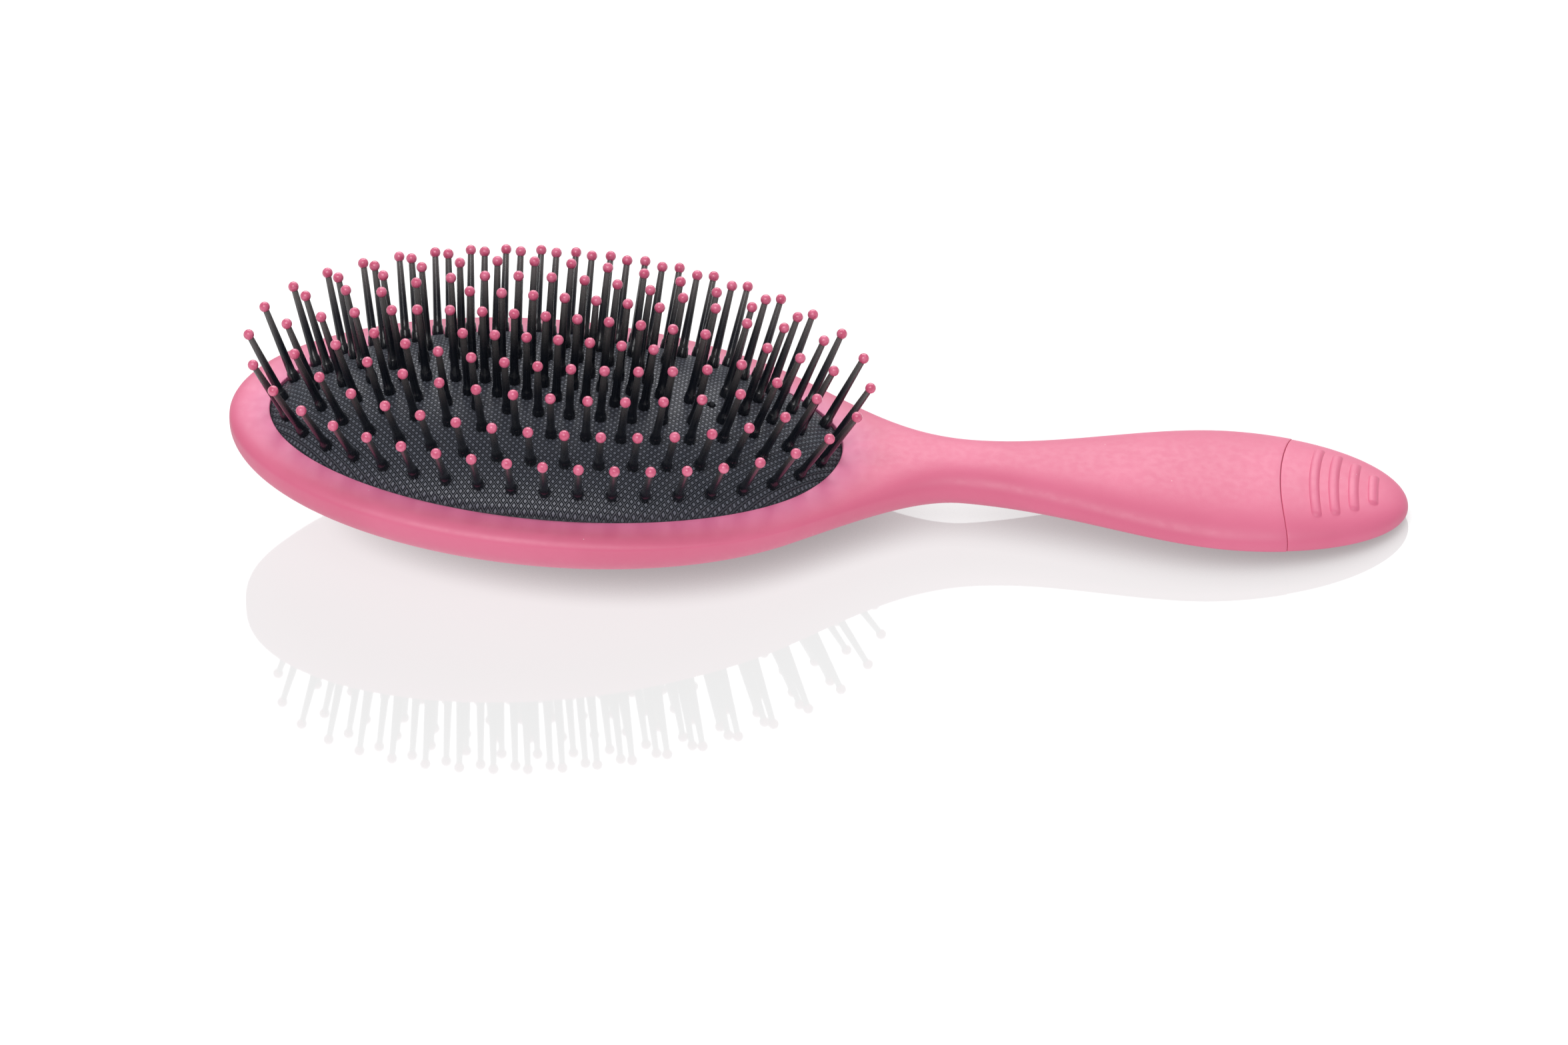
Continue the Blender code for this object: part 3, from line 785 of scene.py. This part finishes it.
def net_cells():
    """The net over the pad's whole reach, cell by cell: the points' places along the two diagonals,
    their height and painted light, and the faces. The painted light runs from the grooves' painted
    shade at 0 to the squares' painted light at 1. Points 0 to 3 of a cell are on its ridge, 4 to 7
    in its groove and 8 to 11 on its square."""
    count = int((PAD_HALF_LENGTH + PAD_HALF_WIDTH) / math.sqrt(2) / CELL) + 2
    cells = np.arange(-count, count)
    near, far = np.meshgrid(cells, cells, indexing="ij")
    corners = []
    for share, _ in (RIDGE_LINE, GROOVE_LINE, SQUARE_LINE):
        low, high = share, 1 - share
        corners += [(low, low), (high, low), (high, high), (low, high)]
    along = (near[..., None] + np.array([c[0] for c in corners])) * CELL
    across = (far[..., None] + np.array([c[1] for c in corners])) * CELL
    rise = np.repeat([RIDGE_LINE[1], GROOVE_LINE[1], SQUARE_LINE[1]], 4)
    net_painted_light = np.repeat([RIDGE_PAINTED_LIGHT, 0.0, 1.0], 4)
    number = np.arange(along.size).reshape(along.shape)
    quads = [number[..., [8, 9, 10, 11]]]
    for ring in (0, 4):
        for i in range(4):
            j = (i + 1) % 4
            quads.append(number[..., [ring + i, ring + j, ring + 4 + j, ring + 4 + i]])
    here, right, ahead, beyond = number[:-1, :-1], number[1:, :-1], number[:-1, 1:], number[1:, 1:]
    quads.append(np.stack([here[..., 1], right[..., 0], right[..., 3], here[..., 2]], -1))
    quads.append(np.stack([here[..., 3], here[..., 2], ahead[..., 1], ahead[..., 0]], -1))
    quads.append(np.stack([here[..., 2], right[..., 3], beyond[..., 0], ahead[..., 1]], -1))
    faces = np.concatenate([q.reshape(-1, 4) for q in quads])
    spread = np.broadcast_to
    return (along.ravel(), across.ravel(), spread(rise, along.shape).ravel(),
            spread(net_painted_light, along.shape).ravel(), faces)


def pad_top():
    """The pad's netted upper side: points, each point's painted light from 0 (painted shade in the
    grooves) to 1 (painted light on the squares), faces and the edge's loop of points."""
    u, v, rise, net_painted_light, faces = net_cells()
    x, y = (u + v) / math.sqrt(2), (u - v) / math.sqrt(2)
    reach = np.hypot(x / PAD_EDGE[0], y / PAD_EDGE[1])
    x, y = x / np.maximum(reach, 1), y / np.maximum(reach, 1)
    fade = np.clip((1 - reach) / EDGE_FADE, 0, 1)
    surface = np.stack([x, y, skin_height(x, y)], -1)
    normals = pad_normals(x * JUST_INSIDE, y * JUST_INSIDE)
    surface += normals * ((rise - RIDGE_LINE[1]) * fade)[:, None]
    faces = faces[(reach[faces] < NET_ENDS).any(axis=1)]
    kept, faces = np.unique(faces, return_inverse=True)
    faces = faces.reshape(-1, 4)
    ends = np.concatenate([faces[:, [i, (i + 1) % 4]] for i in range(4)])
    known = {(p, q) for p, q in ends.tolist()}
    follow = {p: q for p, q in known if (q, p) not in known}
    loop = [next(iter(follow))]
    while follow[loop[-1]] != loop[0]:
        loop.append(follow[loop[-1]])
    return surface[kept], (net_painted_light * fade)[kept], faces, loop


def make_pad(material):
    """The netted dome, its hidden flange and its plain underside."""
    points, net_painted_light, faces, loop = pad_top()
    points, faces = [tuple(p) for p in points.tolist()], [tuple(f) for f in faces.tolist()]
    edge = np.array([points[i] for i in loop])[:, :2]
    full = np.array([PAD_HALF_LENGTH, PAD_HALF_WIDTH])
    flange = edge * (full + PAD_FLANGE_REACH) / PAD_EDGE
    inner = edge * (full - PAD_WALL) / PAD_EDGE
    round_flange = ((edge, PAD_FLANGE_TOP), (flange, PAD_FLANGE_TOP), (flange, PAD_FLANGE_BOTTOM),
                    (inner, PAD_FLANGE_BOTTOM))
    before = loop
    for outline, z in round_flange:
        now = list(range(len(points), len(points) + len(loop)))
        points += [(x, y, z) for x, y in outline.tolist()]
        faces += [(before[i - 1], before[i], now[i], now[i - 1]) for i in range(len(loop))]
        before = now
    underside, sides = len(points), UNDERSIDE_SIDES
    length, breadth = full - PAD_WALL
    for share in UNDERSIDE_RINGS:
        for x, y, _ in ellipse(length * share, breadth * share, 0, sides):
            points.append((x, y, float(pad_height(x, y)) - PAD_WALL))
    faces += coarser(before, [underside + i for i in range(sides)], points)
    last = underside + (len(UNDERSIDE_RINGS) - 1) * sides
    for a in range(underside, last, sides):
        b = a + sides
        faces += [(a + i, a + (i + 1) % sides, b + (i + 1) % sides, b + i) for i in range(sides)]
    faces.append(tuple(last + i for i in range(sides)))
    pad = add_mesh("netted_pad", points, faces, sharp_deg=None)
    store(pad, "net_painted_light", list(net_painted_light) + [0.0] * (len(points) - len(net_painted_light)))
    cut(pad, add_mesh("holes", *joined(hole_skins())))
    finish_piece(pad, "handle", ["cushion_pad"], material)
    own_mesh(pad)


def coarser(fine, coarse, points):
    """Triangles between a closed loop of many points and one of few, both turning the same way."""
    def angle(i):
        x, y = points[i][:2]
        return math.atan2(y / PAD_HALF_WIDTH, x / PAD_HALF_LENGTH) % (2 * math.pi)

    count = len(coarse)
    turned = [angle(i) / (2 * math.pi) * count for i in fine]
    nearest = [int(t + 0.5) % count for t in turned]
    faces = []
    for i in range(len(fine)):
        a, b = nearest[i - 1], nearest[i]
        faces.append((fine[i - 1], fine[i], coarse[b]))
        while a != b:
            step = (a + 1) % count if (b - a) % count < count / 2 else (a - 1) % count
            faces.append((fine[i - 1], coarse[step], coarse[a]))
            a = step
    return faces


# ---------------------------------------------------------------- pins

def even_loop(count, half_length, half_breadth):
    """Points spaced evenly round an ellipse, the first at its +X end."""
    steps = 1440
    turn = np.linspace(0, 2 * math.pi, steps + 1)
    x, y = half_length * np.cos(turn), half_breadth * np.sin(turn)
    travelled = np.concatenate([[0], np.cumsum(np.hypot(np.diff(x), np.diff(y)))])
    wanted = travelled[-1] * np.arange(count) / count
    return list(zip(np.interp(wanted, travelled, x), np.interp(wanted, travelled, y)))


def pin_groups():
    """Each strip's node, body and pin feet."""
    groups = []
    for name, count, length, width, parts in LOOPS:
        feet = even_loop(count, length, width)
        start = count // (2 * parts)
        turned = feet[-start:] + feet[:-start]
        size = count / parts
        for part in range(parts):
            chosen = turned[round(part * size):round((part + 1) * size)]
            groups.append((f"{name}_{part + 1}", name + "_loop", chosen))
    half = (SIDE_ROW_PINS - 1) / 2
    row = [ROW_PITCH * (i - half) for i in range(SIDE_ROW_PINS)]
    groups.append(("inner_far", "inner_rows", [(x, SIDE_ROW_Y) for x in row]))
    groups.append(("inner_near", "inner_rows", [(x, -SIDE_ROW_Y) for x in row]))
    half = (MIDDLE_ROW_PINS - 1) / 2
    middle = [(ROW_PITCH * (i - half), 0) for i in range(MIDDLE_ROW_PINS)]
    groups.append(("middle", "middle_row", [(-ROW_END_X, 0)] + middle))
    return groups


def pad_foot(x, y):
    return Vector((x, y, float(pad_height(x, y))))


def pad_normal(x, y):
    return Vector(pad_normals(np.array([x], float), np.array([y], float))[0])


def pin_axis(x, y):
    along, across = x / PAD_HALF_LENGTH, y / PAD_HALF_WIDTH
    lean_x = LEAN_X[0] * along + LEAN_X[1] * along ** 3
    lean_y = LEAN_Y[0] * across + LEAN_Y[1] * across ** 3
    return Vector((lean_x, lean_y, 1)).normalized()


def turned_rings(foot, axis, stations, sides, ridge=0.0):
    """Rings square to axis at each (distance, radius), with a fine parting line on two sides.
    A radius of 0 gives a pole."""
    side = (Vector((1, 0, 0)) - axis * axis.x).normalized()
    front = axis.cross(side)
    rings = []
    for distance, radius in stations:
        centre = foot + axis * distance
        if radius == 0:
            rings.append([tuple(centre)])
            continue
        ring = []
        for i, turn in enumerate(turns(sides)):
            out = radius + (ridge if i % (sides // 2) == sides // 4 else 0)
            ring.append(tuple(centre + (side * math.cos(turn) + front * math.sin(turn)) * out))
        rings.append(ring)
    return rings


def shaft_stations(root):
    """A pin's (distance, radius) pairs, from its root in the strip to its end inside the tip."""
    top = PIN_LENGTH - math.sqrt(TIP_RADIUS ** 2 - SHAFT_TOP_RADIUS ** 2) + SHAFT_INTO_TIP
    foot = COLLAR[-1][0] + SHAFT_ABOVE_COLLAR
    thinning = SHAFT_TOP_RADIUS - SHAFT_FOOT_RADIUS
    taper = []
    for i in range(SHAFT_STEPS + 1):
        distance = foot + (top - foot) * i / SHAFT_STEPS
        taper.append((distance, SHAFT_FOOT_RADIUS + thinning * i / SHAFT_STEPS))
    return [(root, 0), (root, COLLAR[0][1])] + list(COLLAR) + taper + [(top, 0)]


def strip_skin(feet):
    """The thin strip under the pad that joins a group's pins."""
    first = Vector(feet[0]) - (Vector(feet[1]) - Vector(feet[0])).normalized() * STRIP_HALF_WIDTH
    last = Vector(feet[-1]) + (Vector(feet[-1]) - Vector(feet[-2])).normalized() * STRIP_HALF_WIDTH
    route = [tuple(first)] + list(feet[1:-1]) + [tuple(last)]
    corners = ((-1, -1), (1, -1), (1, 1), (-1, 1))
    rings = []
    for i, (x, y) in enumerate(route):
        before, after = Vector(route[max(i - 1, 0)]), Vector(route[min(i + 1, len(route) - 1)])
        normal = pad_normal(x, y)
        ahead = Vector((*(after - before), 0))
        ahead = (ahead - normal * ahead.dot(normal)).normalized()
        side = normal.cross(ahead) * STRIP_HALF_WIDTH
        lift = normal * STRIP_HALF_THICKNESS
        centre = pad_foot(x, y) - normal * STRIP_DEPTH
        rings.append([tuple(centre + side * a + lift * b) for a, b in corners])
    return skin(rings)


def tip_stations():
    found = [(PIN_LENGTH - TIP_RADIUS, 0)]
    for i in range(1, TIP_STEPS):
        turn = math.pi * i / TIP_STEPS
        found.append((PIN_LENGTH - TIP_RADIUS * math.cos(turn), TIP_RADIUS * math.sin(turn)))
    return found + [(PIN_LENGTH + TIP_RADIUS, 0)]


def make_pins(nylon, enamel):
    for name, body, feet in pin_groups():
        shafts, tips, rise = [], [], []
        for x, y in feet:
            foot, axis = pad_foot(x, y), pin_axis(x, y)
            stations = shaft_stations(-STRIP_DEPTH / axis.dot(pad_normal(x, y)))
            rings = turned_rings(foot, axis, stations, PIN_SIDES, PARTING_RISE)
            shafts.append(skin(rings))
            for (distance, _), ring in zip(stations, rings):
                rise += [max(0.0, distance / PIN_LENGTH)] * len(ring)
            tips.append(skin(turned_rings(foot, axis, tip_stations(), TIP_SIDES)))
        strip = strip_skin(feet)
        shaft_piece = add_mesh(f"pin_shafts_{name}", *joined(shafts + [strip]), sharp_deg=50)
        store(shaft_piece, "rise", rise + [0.0] * len(strip[0]))
        finish_piece(shaft_piece, body, [f"pins_{name}"], nylon)
        tip_piece = add_mesh(f"pin_tips_{name}", *joined(tips), sharp_deg=80)
        finish_piece(tip_piece, body, [], enamel)


def hole_skins():
    """What the pins' holes and the air vent take out of the pad."""
    hole = [(distance, HOLE_RADIUS) for distance in HOLE_REACH]
    vent = [(distance, VENT_RADIUS) for distance in VENT_REACH]
    skins = []
    for _, _, feet in pin_groups():
        for x, y in feet:
            skins.append(skin(turned_rings(pad_foot(x, y), pin_axis(x, y), hole, HOLE_SIDES)))
    foot, axis = pad_foot(ROW_END_X, 0), pad_normal(ROW_END_X, 0)
    return skins + [skin(turned_rings(foot, axis, vent, VENT_SIDES))]


# ---------------------------------------------------------------- studio

# The camera looks at a point in the brush's frame, in millimetres, from this far off.
CAMERA_ELEVATION_DEG = 36.365
CAMERA_YAW_DEG = -1.856
CAMERA_ROLL_DEG = 3.850
CAMERA_AIM = (45.32, -23.81, 0.0)
CAMERA_DISTANCE = 1883.5
CAMERA_LENS = 229.5

# In the row frame, in metres and watts. Both softboxes point at the origin.
FLOOR_HALF_SIZE = 4
FLOOR_GLOW = (0.3, 0.75)
CONTACT_SHADOW_REACH = 0.0085
CONTACT_SHADOW_SAMPLES = 8
SOFTBOX_POWER = 24
BACK_SOFTBOX = ((0, 1.6, 1.25), (1.8, 1.2))
OVERHEAD_SOFTBOX = ((-0.25, -1.3, 1.8), (1.6, 1.2))
WORLD_STRENGTH = 0.4


def make_camera():
    """Looks down on the near side of the brush from far off, through a long lens."""
    lift = math.radians(CAMERA_ELEVATION_DEG)
    yaw = math.radians(CAMERA_YAW_DEG)
    roll = math.radians(CAMERA_ROLL_DEG)
    turn = Matrix.Rotation(-yaw, 3, "Z")
    ahead = turn @ Vector((0, math.cos(lift), -math.sin(lift)))
    right = turn @ Vector((1, 0, 0))
    up = right.cross(ahead)
    side = right * math.cos(roll) + up * math.sin(roll)
    top = up * math.cos(roll) - right * math.sin(roll)
    where = Vector(CAMERA_AIM) - ahead * CAMERA_DISTANCE
    axes = Matrix((side, top, -ahead)).transposed().to_4x4()
    axes.translation = where * MM
    data = bpy.data.cameras.new("camera")
    data.lens = CAMERA_LENS
    data.sensor_width = 36
    data.clip_end = 100
    camera = bpy.data.objects.new("camera", data)
    bpy.context.scene.collection.objects.link(camera)
    camera.matrix_world = BRUSH @ axes
    bpy.context.scene.camera = camera


def make_softbox(name, spot, size):
    data = bpy.data.lights.new(name, "AREA")
    data.shape = "RECTANGLE"
    data.size, data.size_y = size
    data.energy = SOFTBOX_POWER
    light = bpy.data.objects.new(name, data)
    bpy.context.scene.collection.objects.link(light)
    light.location = spot
    light.rotation_euler = (Vector() - Vector(spot)).to_track_quat("-Z", "Y").to_euler()


def make_floor():
    """A glossy floor that glows, less so where the brush is close over it."""
    half = FLOOR_HALF_SIZE
    mesh = bpy.data.meshes.new("floor")
    mesh.from_pydata([(-half, -half, 0), (half, -half, 0), (half, half, 0), (-half, half, 0)], [],
                     [(0, 1, 2, 3)])
    floor = bpy.data.objects.new("floor", mesh)
    bpy.context.scene.collection.objects.link(floor)
    made, tree, shader = new_material("lit pale floor", FLOOR_PLAIN, 0.04, Emission_Color=WHITE)
    tree.links.new(mixed(tree, noise(tree, 3), *FLOOR_GREYS), shader.inputs["Base Color"])
    nearby = tree.nodes.new("ShaderNodeAmbientOcclusion")
    nearby.samples = CONTACT_SHADOW_SAMPLES
    nearby.inputs["Distance"].default_value = CONTACT_SHADOW_REACH
    glow = ranged(tree, nearby.outputs["AO"], 0.0, 1.0, *FLOOR_GLOW)
    tree.links.new(glow, shader.inputs["Emission Strength"])
    mesh.materials.append(made)


def make_studio():
    make_floor()
    world = bpy.data.worlds.new("studio")
    world.use_nodes = True
    background = world.node_tree.nodes["Background"]
    background.inputs["Color"].default_value = WHITE
    background.inputs["Strength"].default_value = WORLD_STRENGTH
    bpy.context.scene.world = world
    make_softbox("back softbox", *BACK_SOFTBOX)
    make_softbox("overhead softbox", *OVERHEAD_SOFTBOX)
    bpy.context.scene.view_settings.view_transform = "Standard"


def main():
    pink = soft_touch()
    make_body(pink)
    make_cap(pink)
    make_pad(rubber())
    make_pins(pin_nylon(), tip_enamel())
    shown_cad_nodes = {
        "cap_tongue": moulded("tongue plastic", TONGUE_GREYS, 0.4),
        "pad_retaining_ring": moulded("ring nylon", RING_GREYS, 0.45),
    }
    for node, material in shown_cad_nodes.items():
        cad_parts[node].data.materials.clear()
        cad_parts[node].data.materials.append(material)
    make_studio()
    make_camera()
    bpy.context.view_layer.update()


main()
